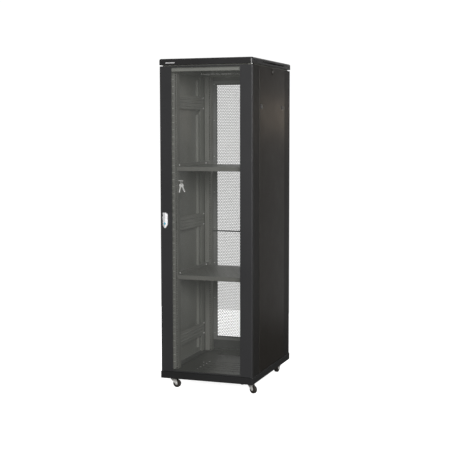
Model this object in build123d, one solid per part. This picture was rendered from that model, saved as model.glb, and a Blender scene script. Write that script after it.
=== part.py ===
"""Free-standing 19-inch network rack cabinet, 42 units high, on casters.

Frame: millimetres, +Z up, -Y is the front (glass door) and +X the right-hand side seen from the front.
The origin is the centre of the footprint on the floor. Every sub-part is written to parts/NODE.step.
"""

import os
from math import cos, radians, sin

from build123d import *

# ---------------------------------------------------------------- driving dimensions
WIDTH = 600.0  # over the posts and side panels
DEPTH = 800.0  # over both doors
HEIGHT = 2050.0  # floor to the top of the roof cover
PROUD = 4.0  # how far the base and the roof cover stand out all round

CASTER_HEIGHT = 65.0
BASE_TALL = 42.0
COVER_TALL = 38.0
COVER_CORNER = 14.0
COVER_RIM = 11.0
SHEET = 2.0  # structural sheet steel
SKIN = 1.5  # doors, panels and shelves

UNIT = 44.45  # one rack unit
UNITS = 42
RAIL_OPENING = 450.0  # clear width between the rails' inner faces
HOLE_COLUMN = 465.1 / 2  # from the middle plane to a column of square holes
SQUARE_HOLE = 9.5
HOLE_OFFSETS = (6.35, 22.225, 38.1)  # heights of the three square holes in one unit

# ---------------------------------------------------------------- levels and planes
HALF_W = WIDTH / 2
FRONT = -DEPTH / 2  # plane of the front door's outer face
REAR = DEPTH / 2  # plane of the rear door's outer face
BASE_BOTTOM = CASTER_HEIGHT
BASE_TOP = BASE_BOTTOM + BASE_TALL
COVER_BOTTOM = HEIGHT - COVER_TALL
RAIL_TOP = BASE_TOP + UNITS * UNIT
TOP_FRAME_BOTTOM = RAIL_TOP + 0.1
LEAF_BOTTOM = BASE_TOP + 2.0  # lower edge of doors and side panels
LEAF_TOP = COVER_BOTTOM - 7.0
DOOR_THICK = 20.0
POST_FACE = 27.0  # gap from a door's outer face to the post behind it
POST_OUTER = HALF_W - 1.0
FRONT_POST_DEPTH = 114.0
REAR_POST_DEPTH = 97.0
SEAT_X = 281.0  # outer face of the posts' seat strips
STRUT_X = SEAT_X - SHEET  # outer face of the side struts

BEAM = 54.0  # width of the base frame's beams in plan
TOP_HALF_X = 290.0
TOP_HALF_Y = -FRONT - POST_FACE - SHEET
TOP_BEAM = 40.0

FRONT_RAIL_Y = FRONT + 95.0
REAR_RAIL_Y = FRONT + 695.0
RAIL_EDGE = 268.0
RAIL_RETURN = 45.0
ROUND_COLUMN = 256.0

STRUT_TALL = 88.0
STRUT_CENTRES = (262.0, 1015.0, 1797.0)
STRUT_FRONT_Y = FRONT + 112.0
STRUT_REAR_Y = FRONT + 703.0
STRUT_SCREW_Y = (FRONT + 120.0, FRONT + 690.0)

SHELF_LEVELS = {"upper_shelf": 1388.0, "lower_shelf": 706.0}
SHELF_FRONT_Y = FRONT + 98.0
SHELF_REAR_Y = FRONT + 645.0
SHELF_SCREW_Y = (FRONT + 128.0, FRONT + 596.0)
SHELF_SCREW_RISE = 10.0

HINGE_X = 291.0
HINGE_INSET = 11.0  # from a door's outer face to its hinge axis
PIN_R = 4.0
BORE_R = 4.05

HANDLE_X = -265.0
SPINDLE_Z = 1092.0
LOCK_X = -264.0
LOCK_Z = 1039.0

WHEEL_R = 25.0
WHEEL_WIDE = 18.0
TRAIL = 27.0
# corner: swivel axis (x, y), trail direction in degrees from +X, levelling foot (x, y)
CORNERS = {
    "front_left": ((-241.0, -352.0), 0.0, (-284.0, -332.0)),
    "front_right": ((266.0, -336.0), -26.0, (226.0, -370.0)),
    "rear_left": ((-262.0, 290.0), 250.0, (-234.0, 370.0)),
    "rear_right": ((262.0, 290.0), 256.0, (282.0, 340.0)),
}
FOOT_BOTTOM = 56.0

FAN_X = (-63.0, 63.0)
FAN_Y = -110.0
FAN_SIZE = 120.0
FAN_THICK = 38.0
FAN_TOP = 2005.0

PANEL_FRONT_Y = FRONT + 143.0
PANEL_REAR_Y = FRONT + 673.0
PANEL_DEPTH = 8.5
LATCH_Z = 1759.0
LATCH_Y = (FRONT + 181.0, FRONT + 630.0)
SIDE_LOCK_Y = FRONT + 405.0
SIDE_LOCK_Z = 1979.0

# ---------------------------------------------------------------- lesser sizes
FLOOR_TOP = 98.0
FLOOR_ROW_Y = FRONT + 172.0
FLOOR_PITCH = 56.0
FLOOR_SCREWS = [(-125.0, FLOOR_ROW_Y + k * FLOOR_PITCH) for k in range(5)]
FLOOR_SCREWS.append((-157.0, FLOOR_ROW_Y + 3.5 * FLOOR_PITCH))
SUNK_DEPTH = 3.0  # dimples that hold the floor screws' heads flush
SUNK_TOP = FLOOR_TOP - SUNK_DEPTH
SUNK_R = 5.8
FOOT_STUD_R = 5.0
CASTER_BOLT_SPACING = 38.0
CROWN_BOTTOM = BASE_BOTTOM - 10.0
DOOR_PINS = ((HINGE_X, FRONT + HINGE_INSET), (-HINGE_X, REAR - HINGE_INSET))
BRACKET_BOTTOM = LEAF_TOP + 0.8
BUSH_SPANS = ((LEAF_BOTTOM + SKIN, LEAF_BOTTOM + 16), (LEAF_TOP - 16, LEAF_TOP - SKIN))
GLASS_LEFT = -224.0
GLASS_RIGHT = 222.0
GLASS_THICK = 5.0
MESH_HALF = 215.0
MESH_LOW = 193.0
MESH_HIGH = 1922.0
REAR_LOCK_X = 262.0
REAR_LOCK_Z = 1040.0
REAR_LOCK_R = 9.0
BASE_PLATE_THICK = 4.0
PIVOT_OUT = 11.2
KEY_SEAT_OUT = 18.2
FLAP_EAR = 1.6
LATCH_FLOOR = 290.0
STIFFENER_Y = (FRONT + 195.0, FRONT + 624.0)
SIDE_LOCK_R = 7.0
FAN_SHAFT_R = 3.0
FAN_FACE_Y = FAN_Y - FAN_SIZE / 2  # front of the fan housings
KEY_X = -207.0
KEY_Y = FRONT + 118.0
KEY_PEG_Z = 1300.0
KEY_PEG_LENGTH = 26.0
KEY_RING_R = 11.0
KEY_WIRE = 0.9
THIN_LEAD_R = 1.5
POWER_LEAD_R = 2.2

# routes of the fan leads: each point is (x, distance in front of the fan housings, z)
LEAD_ROUTES = {
    "yellow": (THIN_LEAD_R, [
        (-36, 0.3, 2002.4), (-36, 12, 2001), (-20, 20, 1994), (2, 21, 1992), (22, 14, 1996), (34, 11, 2002),
        (34, 0.3, 2002.4),
    ]),
    "blue": (THIN_LEAD_R, [
        (-14, 0.3, 2002.4), (-14, 10, 1999), (0, 22, 1987), (22, 24, 1984), (42, 18, 1990), (54, 10, 2000),
        (54, 0.3, 2002.4),
    ]),
    "power": (POWER_LEAD_R, [
        (18, 0.4, 1969.7), (18, 12, 1968), (30, 24, 1950), (58, 27, 1941), (84, 25, 1940), (106, 20, 1954),
        (112, 12, 1968), (112, 0.4, 1969.7),
    ]),
}


# ---------------------------------------------------------------- small helpers
def block(x0, x1, y0, y1, z0, z1):
    """Box between two opposite corners, in any order."""
    size = (abs(x1 - x0), abs(y1 - y0), abs(z1 - z0))
    return Pos((x0 + x1) / 2, (y0 + y1) / 2, (z0 + z1) / 2) * Box(*size)


def rod(x, y, z, radius, length, axis):
    """Cylinder that starts at (x, y, z) and runs `length` along `axis`."""
    plane = Plane(origin=(x, y, z), z_dir=axis)
    return plane * Cylinder(radius, length, align=(Align.CENTER, Align.CENTER, Align.MIN))


def plate(points, thick, plane):
    """Flat plate cut to an outline of points, drawn on `plane`."""
    return extrude(plane * Polygon(*points, align=None), thick)


def solids_of(pieces):
    """Keep separate pieces apart as the solids of one node."""
    return Compound(children=[solid for piece in pieces for solid in piece.solids()])


def save(name, shape):
    """Write one node."""
    shape.label = name
    export_step(shape, f"parts/{name}.step")


def rounded_pan(half_x, half_y, z0, z1, corner, rim):
    """Block with rounded upright corners, and a rounded top rim where `rim` isn't 0."""
    pan = block(-half_x, half_x, -half_y, half_y, z0, z1)
    pan = fillet(pan.edges().filter_by(Axis.Z), corner)
    if rim:
        pan = fillet(pan.faces().sort_by(Axis.Z)[-1].edges(), rim)
    return pan


def screw(x, y, z, axis, reach, head_r=4.2, shank_r=2.0, head_thick=2.6):
    """Pan-head screw: the head stands on (x, y, z) against `axis`, the shank runs along it."""
    back = tuple(-a for a in axis)
    head = rod(x, y, z, head_r, head_thick, back)
    crown = head.edges().group_by(Axis(origin=(0, 0, 0), direction=axis))[0]
    head = fillet(crown, head_thick * 0.45)
    tip = (x - axis[0] * head_thick, y - axis[1] * head_thick, z - axis[2] * head_thick)
    recess_plane = Plane(origin=tip, z_dir=axis)
    slots = [recess_plane * Box(*size, 2.0) for size in ((4.2, 1.0), (1.0, 4.2))]
    return head + rod(x, y, z, shank_r, reach, axis) - slots


# ---------------------------------------------------------------- base, floor and roof
def base_frame():
    """Welded ring of downward-open channels, with corner plates, weld nuts and floor ledges."""
    half_x = HALF_W + PROUD
    half_y = DEPTH / 2 + PROUD
    inner_x = half_x - BEAM
    inner_y = half_y - BEAM
    ring = rounded_pan(half_x, half_y, BASE_BOTTOM, BASE_TOP, 6.0, 0)
    ring = fillet(ring.faces().sort_by(Axis.Z)[-1].edges(), 1.5)
    ring -= block(-inner_x, inner_x, -inner_y, inner_y, BASE_BOTTOM - 1, BASE_TOP + 1)
    hollow = rounded_pan(half_x - SHEET, half_y - SHEET, BASE_BOTTOM - 1, BASE_TOP - SHEET, 4.0, 0)
    walls_x = inner_x + SHEET
    walls_y = inner_y + SHEET
    hollow -= block(-walls_x, walls_x, -walls_y, walls_y, BASE_BOTTOM - 2, BASE_TOP)
    ring -= hollow
    ledge_top = FLOOR_TOP - SKIN
    ledge = block(-inner_x, inner_x, -inner_y, inner_y, ledge_top - SHEET, ledge_top)
    ledge -= block(-inner_x + 12, inner_x - 12, -inner_y + 12, inner_y - 12, 0, BASE_TOP)
    ring += ledge
    for (caster_x, caster_y), _, (foot_x, foot_y) in CORNERS.values():
        side = 1 if caster_x > 0 else -1
        end = 1 if caster_y > 0 else -1
        ring += block(side * 200, side * (half_x - 1), end * 250, end * (half_y - 1), BASE_BOTTOM,
                      BASE_BOTTOM + 3)
        ring += block(foot_x - 11, foot_x + 11, foot_y - 11, foot_y + 11, BASE_BOTTOM, BASE_BOTTOM + 15)
    for (caster_x, caster_y), _, (foot_x, foot_y) in CORNERS.values():
        ring -= rod(foot_x, foot_y, BASE_BOTTOM - 1, FOOT_STUD_R + 0.05, 20, (0, 0, 1))
        ring -= rod(foot_x, foot_y, BASE_TOP - 10, 6.5, 12, (0, 0, 1))
        ring -= caster_bolt_holes(caster_x, caster_y)
    for x, y in DOOR_PINS:
        ring -= rod(x, y, BASE_TOP - 5, BORE_R, 10, (0, 0, 1))
    return ring


def caster_bolt_holes(x, y):
    """Four clearance holes above a caster's plate."""
    half = CASTER_BOLT_SPACING / 2
    return [
        rod(x + i * half, y + j * half, BASE_BOTTOM - 1, 3.3, 10, (0, 0, 1))
        for i in (-1, 1)
        for j in (-1, 1)
    ]


def base_plate():
    """Floor sheet with pressed ribs, dimples for a row of screws and a cable entry at the rear."""
    half_x = HALF_W + PROUD - BEAM - 0.5
    half_y = DEPTH / 2 + PROUD - BEAM - 0.5
    floor = block(-half_x, half_x, -half_y, half_y, FLOOR_TOP - SKIN, FLOOR_TOP)
    for row in range(5):
        y = FLOOR_ROW_Y + row * FLOOR_PITCH
        rib = block(-85, 215, y - 5, y + 5, FLOOR_TOP - SKIN, FLOOR_TOP + 2.5)
        floor += fillet(rib.faces().sort_by(Axis.Z)[-1].edges(), 2.0)
    for x, y in FLOOR_SCREWS:
        floor += rod(x, y, SUNK_TOP - SKIN, SUNK_R + SKIN, SUNK_DEPTH + SKIN / 2, (0, 0, 1))
        floor -= rod(x, y, SUNK_TOP, SUNK_R, SUNK_DEPTH + 1, (0, 0, 1))
        floor -= rod(x, y, SUNK_TOP - 5, 2.6, 10, (0, 0, 1))
    entry = block(-150, 150, 215, 325, FLOOR_TOP - 5, FLOOR_TOP + 5)
    floor -= fillet(entry.edges().filter_by(Axis.Z), 12)
    return floor


def top_frame():
    """Ring of upward-open channels that ties the posts, with two hinge brackets."""
    inner_x = TOP_HALF_X - TOP_BEAM
    inner_y = TOP_HALF_Y - TOP_BEAM
    ring = block(-TOP_HALF_X, TOP_HALF_X, -TOP_HALF_Y, TOP_HALF_Y, TOP_FRAME_BOTTOM, COVER_BOTTOM)
    ring -= block(-inner_x, inner_x, -inner_y, inner_y, 0, HEIGHT)
    hollow_x = TOP_HALF_X - SHEET
    hollow_y = TOP_HALF_Y - SHEET
    hollow = block(-hollow_x, hollow_x, -hollow_y, hollow_y, TOP_FRAME_BOTTOM + SHEET, HEIGHT)
    hollow -= block(-inner_x - SHEET, inner_x + SHEET, -inner_y - SHEET, inner_y + SHEET, 0, HEIGHT)
    ring -= hollow
    for x, y in DOOR_PINS:
        side = 1 if x > 0 else -1
        end = 1 if y > 0 else -1
        arm = block(x - side * 20, x + side * 8, y + end * 8, end * TOP_HALF_Y, BRACKET_BOTTOM,
                    BRACKET_BOTTOM + 3)
        ring += arm
        ring += block(x - side * 20, side * TOP_HALF_X, end * TOP_HALF_Y, end * (TOP_HALF_Y - 2),
                      BRACKET_BOTTOM, BRACKET_BOTTOM + 3)
        ring -= rod(x, y, BRACKET_BOTTOM - 1, BORE_R, 6, (0, 0, 1))
    return ring


def roof_cover():
    """Shallow roof pan with side slots, fan vents and a cable entry."""
    half_x = HALF_W + PROUD
    half_y = DEPTH / 2 + PROUD
    cover = rounded_pan(half_x, half_y, COVER_BOTTOM, HEIGHT, COVER_CORNER, COVER_RIM)
    cover -= rounded_pan(half_x - SHEET, half_y - SHEET, COVER_BOTTOM + SHEET, HEIGHT - SHEET,
                         COVER_CORNER - SHEET, COVER_RIM - SHEET)
    seat_x = TOP_HALF_X - 3
    seat_y = TOP_HALF_Y - 3
    cover -= block(-seat_x, seat_x, -seat_y, seat_y, COVER_BOTTOM - 1, COVER_BOTTOM + SHEET + 1)
    slot = block(-half_x - 5, half_x + 5, FRONT + 184, FRONT + 649, 2026, 2032)
    cover -= fillet(slot.edges().filter_by(Axis.X), 2.9)
    for x in FAN_X:
        cover -= vent_slots(x, FAN_Y)
    entry = block(-150, 150, 235, 315, HEIGHT - 5, HEIGHT + 5)
    cover -= fillet(entry.edges().filter_by(Axis.Z), 10)
    return cover


def vent_slots(x, y):
    """Parallel slots that fill a circle over one fan."""
    slots = []
    for row in range(-5, 6):
        offset = row * 9.5
        half = (56.0**2 - offset**2) ** 0.5
        slot = block(x - half, x + half, y + offset - 2.5, y + offset + 2.5, HEIGHT - 5, HEIGHT + 5)
        slots.append(fillet(slot.edges().filter_by(Axis.Z), 2.4))
    return slots


def fan_plate():
    """Tray under the roof that carries the two fans, with folded-down edges."""
    half_x = TOP_HALF_X - TOP_BEAM - 0.4
    y0 = FAN_Y - 85
    y1 = FAN_Y + 85
    tray = block(-half_x, half_x, y0, y1, FAN_TOP, FAN_TOP + SKIN)
    for y, inward in ((y0, 1), (y1, -1)):
        tray += block(-half_x, half_x, y, y + inward * SKIN, FAN_TOP - 14, FAN_TOP)
    for x in FAN_X:
        tray -= rod(x, FAN_Y, FAN_TOP - 1, 56.5, 5, (0, 0, 1))
        tray -= [rod(hx, hy, FAN_TOP - 1, 2.3, 5, (0, 0, 1)) for hx, hy in fan_screw_points(x)]
    return tray


# ---------------------------------------------------------------- posts, struts and rails
def post(side, end):
    """Folded corner post with its outer wall, door-side flange and return, and a welded seat strip."""
    depth = FRONT_POST_DEPTH if end < 0 else REAR_POST_DEPTH
    face = end * (REAR - POST_FACE)
    seam = face - end * depth
    outer = side * POST_OUTER
    inner = side * (POST_OUTER - 42)
    body = block(outer, outer - side * SHEET, face, seam, BASE_TOP, LEAF_TOP)
    body += block(outer, inner, face, face - end * SHEET, BASE_TOP, LEAF_TOP)
    body += block(inner, inner + side * SHEET, face, face - end * 22, BASE_TOP, TOP_FRAME_BOTTOM)
    seat = side * SEAT_X
    body += block(outer, seat, seam, seam + end * SHEET, BASE_TOP, TOP_FRAME_BOTTOM)
    strip_out = seam - end * 26
    strip_in = seam + end * 29
    strip = block(seat, seat - side * SHEET, strip_out, strip_in, BASE_TOP, TOP_FRAME_BOTTOM)
    holes = [
        rod(seat + side * 5, y, z, 2.1, 12, (-side, 0, 0))
        for x_side, y, z in strut_screw_points()
        if x_side == side and (y < 0) == (end < 0)
    ]
    return solids_of([body, strip - holes])


def strut_screw_points():
    """(side, y, z) of every screw that holds a strut to its post."""
    half = STRUT_TALL / 2 - 9
    return [
        (side, y, centre + up * half)
        for side in (-1, 1)
        for centre in STRUT_CENTRES
        for y in STRUT_SCREW_Y
        for up in (-1, 1)
    ]


def side_struts(side):
    """Three ribbed depth struts on one side, as separate solids."""
    struts = []
    x_out = side * STRUT_X
    x_in = side * (STRUT_X - SHEET)
    for centre in STRUT_CENTRES:
        low = centre - STRUT_TALL / 2
        strut = block(x_out, x_in, STRUT_FRONT_Y, STRUT_REAR_Y, low, low + STRUT_TALL)
        for offset in (-22, 0, 22):
            rib = block(x_in, x_in - side * 4, STRUT_FRONT_Y + 22, STRUT_REAR_Y - 22, centre + offset - 5,
                        centre + offset + 5)
            crest = rib.faces().sort_by(Axis.X)[0 if side > 0 else -1]
            strut += fillet(crest.edges(), 3.0)
        holes = [
            rod(x_out + side * 5, y, z, 2.1, 12, (-side, 0, 0))
            for x_side, y, z in strut_screw_points()
            if x_side == side and abs(z - centre) < STRUT_TALL
        ]
        struts.append(strut - holes)
    return solids_of(struts)


def rail(side, y):
    """Equipment rail: front flange with the square holes, an inner return and an outer lip."""
    inner = side * RAIL_OPENING / 2
    outer = side * RAIL_EDGE
    body = block(inner, outer, y, y + SHEET, BASE_TOP, RAIL_TOP)
    body += block(inner, inner + side * SHEET, y, y + RAIL_RETURN, BASE_TOP, RAIL_TOP)
    body += block(outer, outer - side * SHEET, y, y + 10, BASE_TOP, RAIL_TOP)
    half = SQUARE_HOLE / 2
    column = side * HOLE_COLUMN
    cuts = []
    for unit in range(UNITS):
        foot = BASE_TOP + unit * UNIT
        for offset in HOLE_OFFSETS:
            z = foot + offset
            cuts.append(block(column - half, column + half, y - 1, y + 3, z - half, z + half))
        cuts.append(rod(side * ROUND_COLUMN, y - 1, foot + HOLE_OFFSETS[1], 3.5, 4, (0, 1, 0)))
    for level in SHELF_LEVELS.values():
        z = level + SHELF_SCREW_RISE
        cuts.append(rod(inner - side * 5, y + 33, z, 2.1, 12, (side, 0, 0)))
    if side < 0 and y < 0:
        cuts.append(rod(inner + 5, KEY_Y, KEY_PEG_Z, 2.1, 12, (-1, 0, 0)))
    return body - cuts


# ---------------------------------------------------------------- shelves
def shelf(level):
    """Fixed shelf: slotted tray with a folded-down front lip and folded-up sides."""
    half = RAIL_OPENING / 2 - 0.2
    tray = block(-half, half, SHELF_FRONT_Y, SHELF_REAR_Y, level - SKIN, level)
    tray += block(-half, half, SHELF_FRONT_Y, SHELF_FRONT_Y + SKIN, level - 26, level)
    tray += block(-half, half, SHELF_REAR_Y - SKIN, SHELF_REAR_Y, level - 15, level)
    for side in (-1, 1):
        tray += block(side * half, side * (half - SKIN), SHELF_FRONT_Y, SHELF_REAR_Y, level - SKIN,
                      level + 20)
    cuts = []
    for row in range(11):
        y = SHELF_FRONT_Y + 40 + row * 46.0
        columns, start = (8, -163.0) if row % 2 else (9, -185.0)
        for column in range(columns):
            x = start + column * 44.0
            slot = block(x - 15, x + 15, y - 3, y + 3, level - 5, level + 5)
            cuts.append(fillet(slot.edges().filter_by(Axis.Z), 2.9))
    for y in SHELF_SCREW_Y:
        z = level + SHELF_SCREW_RISE
        cuts.append(rod(-half - 5, y, z, 2.1, 2 * half + 10, (1, 0, 0)))
    return tray - cuts


def shelf_brackets():
    """Four side arms that carry the shelves back to the rear rails."""
    arms = []
    for level in SHELF_LEVELS.values():
        for side in (-1, 1):
            inner = side * RAIL_OPENING / 2
            mid = inner + side * SHEET
            low = level - 2
            arm = block(inner, mid, FRONT_RAIL_Y + RAIL_RETURN + 1, REAR_RAIL_Y, low, low + 24)
            arm += block(mid, mid + side * SHEET, FRONT_RAIL_Y + 6, FRONT_RAIL_Y + 80, low, low + 24)
            arm += block(inner, side * 262, REAR_RAIL_Y - SHEET, REAR_RAIL_Y, low, low + 24)
            z = level + SHELF_SCREW_RISE
            arm -= [rod(inner - side * 5, y, z, 2.1, 12, (side, 0, 0)) for y in SHELF_SCREW_Y]
            arm -= rod(side * ROUND_COLUMN, REAR_RAIL_Y - 5, z, 2.1, 8, (0, 1, 0))
            arms.append(arm)
    return solids_of(arms)


def frame_screws():
    """Bright pan-head screws of the struts, shelves and floor, and the peg that the keys hang on."""
    screws = []
    for side, y, z in strut_screw_points():
        screws.append(screw(side * (STRUT_X - SHEET), y, z, (side, 0, 0), 8))
    for level in SHELF_LEVELS.values():
        for side in (-1, 1):
            for y in SHELF_SCREW_Y:
                x = side * (RAIL_OPENING / 2 - 0.2 - SKIN)
                screws.append(screw(x, y, level + SHELF_SCREW_RISE, (side, 0, 0), 8))
    for x, y in FLOOR_SCREWS:
        screws.append(screw(x, y, SUNK_TOP, (0, 0, -1), 6, head_r=5.2, shank_r=2.5, head_thick=3.0))
    peg_x = -RAIL_OPENING / 2 + KEY_PEG_LENGTH
    screws.append(screw(peg_x, KEY_Y, KEY_PEG_Z, (-1, 0, 0), KEY_PEG_LENGTH + 4))
    return solids_of(screws)


# ---------------------------------------------------------------- fans
def fan_screw_points(x):
    """Corners of one fan's screw square."""
    return [(x + i * 52.5, FAN_Y + j * 52.5) for i in (-1, 1) for j in (-1, 1)]


def fan_housing(x):
    """Square fan frame with a motor seat on four arms and a stub shaft."""
    half = FAN_SIZE / 2
    low = FAN_TOP - FAN_THICK
    frame = block(x - half, x + half, FAN_Y - half, FAN_Y + half, low, FAN_TOP)
    frame = fillet(frame.edges().filter_by(Axis.Z), 5)
    frame -= rod(x, FAN_Y, low - 1, 56.0, FAN_THICK + 2, (0, 0, 1))
    waist = block(x - half - 1, x + half + 1, FAN_Y - half - 1, FAN_Y + half + 1, low + 5, FAN_TOP - 5)
    waist -= rod(x, FAN_Y, low, 58.5, FAN_THICK, (0, 0, 1))
    frame -= waist
    for hx, hy in fan_screw_points(x):
        frame += rod(hx, hy, low, 4.5, FAN_THICK, (0, 0, 1))
    for hx, hy in fan_screw_points(x):
        frame -= rod(hx, hy, low - 1, 2.2, FAN_THICK + 2, (0, 0, 1))
    arms = [
        Pos(x, FAN_Y, FAN_TOP - 2.5) * Rot(0, 0, turn) * Pos(38, 0, 0) * Box(42, 6, 5)
        for turn in (45, 135, 225, 315)
    ]
    seat = rod(x, FAN_Y, FAN_TOP - 5, 21, 5, (0, 0, 1))
    shaft = rod(x, FAN_Y, low + 4, FAN_SHAFT_R, FAN_THICK - 5, (0, 0, 1))
    return frame + arms + seat + shaft


def fan_rotor(x):
    """Seven-bladed impeller on its hub, bored for the stub shaft."""
    low = FAN_TOP - FAN_THICK + 3
    hub_tall = FAN_THICK - 9
    hub = rod(x, FAN_Y, low, 20, hub_tall, (0, 0, 1))
    hub = fillet(hub.edges().group_by(Axis.Z)[0], 3)
    for blade in range(7):
        turn = blade * 360 / 7
        vane = Pos(36, 0, 0) * Rot(38, 0, 0) * Box(35, 30, 1.8)
        hub += Pos(x, FAN_Y, low + hub_tall / 2) * Rot(0, 0, turn) * vane
    return hub - rod(x, FAN_Y, low - 1, FAN_SHAFT_R + 0.05, hub_tall + 2, (0, 0, 1))


def fan_guards():
    """Bright wire finger guards under the fans."""
    guards = []
    wire = 1.1
    for x in FAN_X:
        z = FAN_TOP - FAN_THICK - wire
        guard = Pos(x, FAN_Y, z) * Torus(52, wire)
        for radius in (16, 28, 40):
            guard += Pos(x, FAN_Y, z) * Torus(radius, wire)
        for turn in (45, 135, 225, 315):
            direction = (cos(radians(turn)), sin(radians(turn)), 0)
            start = (x + 12 * direction[0], FAN_Y + 12 * direction[1], z)
            guard += rod(*start, wire, 60, direction)
        for hx, hy in fan_screw_points(x):
            eye = rod(hx, hy, z - wire, 4.6, 2 * wire, (0, 0, 1))
            guard += eye
        for hx, hy in fan_screw_points(x):
            guard -= rod(hx, hy, z - 3, 2.2, 6, (0, 0, 1))
        guards.append(guard)
    return solids_of(guards)


def bend_radii(points):
    """For each corner, 0.45 of the shorter run divided by the tangent of half the turn."""
    radii = []
    for before, here, after in zip(points, points[1:], points[2:]):
        run_in = Vector(*here) - Vector(*before)
        run_out = Vector(*after) - Vector(*here)
        half_turn = radians(run_in.get_angle(run_out)) / 2
        radii.append(0.45 * min(run_in.length, run_out.length) * cos(half_turn) / sin(half_turn))
    return radii


def fan_wires():
    """Two thin leads and the power lead that link the fans, held at both ends."""
    wires = []
    for name, (radius, route) in LEAD_ROUTES.items():
        points = [(x, FAN_FACE_Y - out, z) for x, out, z in route]
        radii = bend_radii(points)
        path = FilletPolyline(*points, radius=radii)
        wire = sweep(Plane(origin=path @ 0, z_dir=path % 0) * Circle(radius), path=path)
        section = Circle(radius).area
        print(f"{name} lead: length {path.length:.1f}, volume {wire.volume:.1f}, section x length "
              f"{section * path.length:.1f}, radii {[round(bend, 1) for bend in radii]}")
        wires.append(wire)
    return solids_of(wires)


# ---------------------------------------------------------------- doors
def front_door_frame():
    """Steel front door pan with wide stiles, thin top and bottom edges and hinge bushes."""
    back = FRONT + DOOR_THICK
    pan = block(-HALF_W, HALF_W, FRONT, back, LEAF_BOTTOM, LEAF_TOP)
    front_edges = pan.edges().filter_by(Axis.Z).sort_by(Axis.Y)[:2]
    pan = fillet(front_edges, 4.0)
    inside = block(-HALF_W + SKIN, HALF_W - SKIN, FRONT + SKIN, back + 5, LEAF_BOTTOM + SKIN,
                   LEAF_TOP - SKIN)
    inner_edges = inside.edges().filter_by(Axis.Z).sort_by(Axis.Y)[:2]
    pan -= fillet(inner_edges, 2.5)
    pan -= block(GLASS_LEFT, GLASS_RIGHT, FRONT - 1, FRONT + 3, LEAF_BOTTOM + 6, LEAF_TOP - 6)
    for edge, side in ((GLASS_LEFT - 13.5, -1), (GLASS_RIGHT + 13.5, 1)):
        pan += block(edge, edge + side * SKIN, FRONT + SKIN, back, LEAF_BOTTOM + SKIN, LEAF_TOP - SKIN)
        pan += block(edge, edge + side * 16, back - SKIN, back, LEAF_BOTTOM + SKIN, LEAF_TOP - SKIN)
        pan += block(side * (HALF_W - SKIN), side * (HALF_W - 16), back - SKIN, back, LEAF_BOTTOM + SKIN,
                     LEAF_TOP - SKIN)
    for z0, z1 in BUSH_SPANS:
        pan += block(HINGE_X - 9, HINGE_X + 7, FRONT + 3, FRONT + 18, z0, z1)
    pan -= rod(HINGE_X, FRONT + HINGE_INSET, LEAF_BOTTOM - 5, BORE_R, LEAF_TOP - LEAF_BOTTOM + 10, (0, 0, 1))
    pan -= rod(HANDLE_X, FRONT - 1, SPINDLE_Z, 6.6, 4, (0, 1, 0))
    return pan


def front_door_glass():
    """Tempered pane behind the door's front skin."""
    y0 = FRONT + SKIN
    return block(GLASS_LEFT - 12, GLASS_RIGHT + 12, y0, y0 + GLASS_THICK, LEAF_BOTTOM + 2, LEAF_TOP - 2)


def front_door_gasket():
    """Rubber strip round the back of the pane."""
    y0 = FRONT + SKIN + GLASS_THICK
    ring = block(GLASS_LEFT - 12, GLASS_RIGHT + 12, y0, y0 + 4, LEAF_BOTTOM + 2, LEAF_TOP - 2)
    ring -= block(GLASS_LEFT - 1, GLASS_RIGHT + 1, y0 - 1, y0 + 5, LEAF_BOTTOM + 9, LEAF_TOP - 9)
    return ring


def door_hinge_pins():
    """Lower pins with collars on the base, and upper pins with heads on the brackets."""
    pins = []
    for x, y in DOOR_PINS:
        lower = rod(x, y, BASE_TOP - 9, PIN_R, 24, (0, 0, 1))
        pins.append(lower + rod(x, y, BASE_TOP, 7, 1.7, (0, 0, 1)))
        upper = rod(x, y, LEAF_TOP - 13, PIN_R, BRACKET_BOTTOM + 3 - LEAF_TOP + 13, (0, 0, 1))
        pins.append(upper + rod(x, y, BRACKET_BOTTOM + 3, 6, 2, (0, 0, 1)))
    return solids_of(pins)


def rear_door_frame():
    """Steel rear door pan round the perforated panel, with a mid stiffener."""
    inner = REAR - DOOR_THICK
    pan = block(-HALF_W, HALF_W, inner, REAR, LEAF_BOTTOM, LEAF_TOP)
    pan = fillet(pan.edges().filter_by(Axis.Z).sort_by(Axis.Y)[-2:], 4.0)
    inside = block(-HALF_W + SKIN, HALF_W - SKIN, inner - 5, REAR - SKIN, LEAF_BOTTOM + SKIN,
                   LEAF_TOP - SKIN)
    pan -= fillet(inside.edges().filter_by(Axis.Z).sort_by(Axis.Y)[-2:], 2.5)
    pan -= block(-MESH_HALF, MESH_HALF, REAR - 3, REAR + 1, MESH_LOW, MESH_HIGH)
    pan += block(-HALF_W + SKIN, HALF_W - SKIN, REAR - 12, REAR - 2 * SKIN, 921, 929)
    for side in (-1, 1):
        pan += block(side * (HALF_W - SKIN), side * (HALF_W - 14), inner, inner + SKIN, LEAF_BOTTOM + SKIN,
                     LEAF_TOP - SKIN)
    for z0, z1 in BUSH_SPANS:
        pan += block(-HINGE_X - 7, -HINGE_X + 9, REAR - 18, REAR - 3, z0, z1)
    pan -= rod(-HINGE_X, REAR - HINGE_INSET, LEAF_BOTTOM - 5, BORE_R, LEAF_TOP - LEAF_BOTTOM + 10, (0, 0, 1))
    pan -= rod(REAR_LOCK_X, REAR - 5, REAR_LOCK_Z, REAR_LOCK_R + 0.05, 8, (0, 1, 0))
    pan -= [rod(x, REAR - 2.9, z, 1.6, 2.4, (0, 1, 0)) for x, z in mesh_screw_points()]
    return pan


def rear_door_mesh():
    """Perforated sheet of the rear door, as one plain sheet with its screw holes."""
    y1 = REAR - SKIN
    sheet = block(-MESH_HALF - 31, MESH_HALF + 31, y1 - SKIN, y1, MESH_LOW - 28, MESH_HIGH + 28)
    return sheet - [rod(x, y1 - 3, z, 1.6, 5, (0, 1, 0)) for x, z in mesh_screw_points()]


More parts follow.
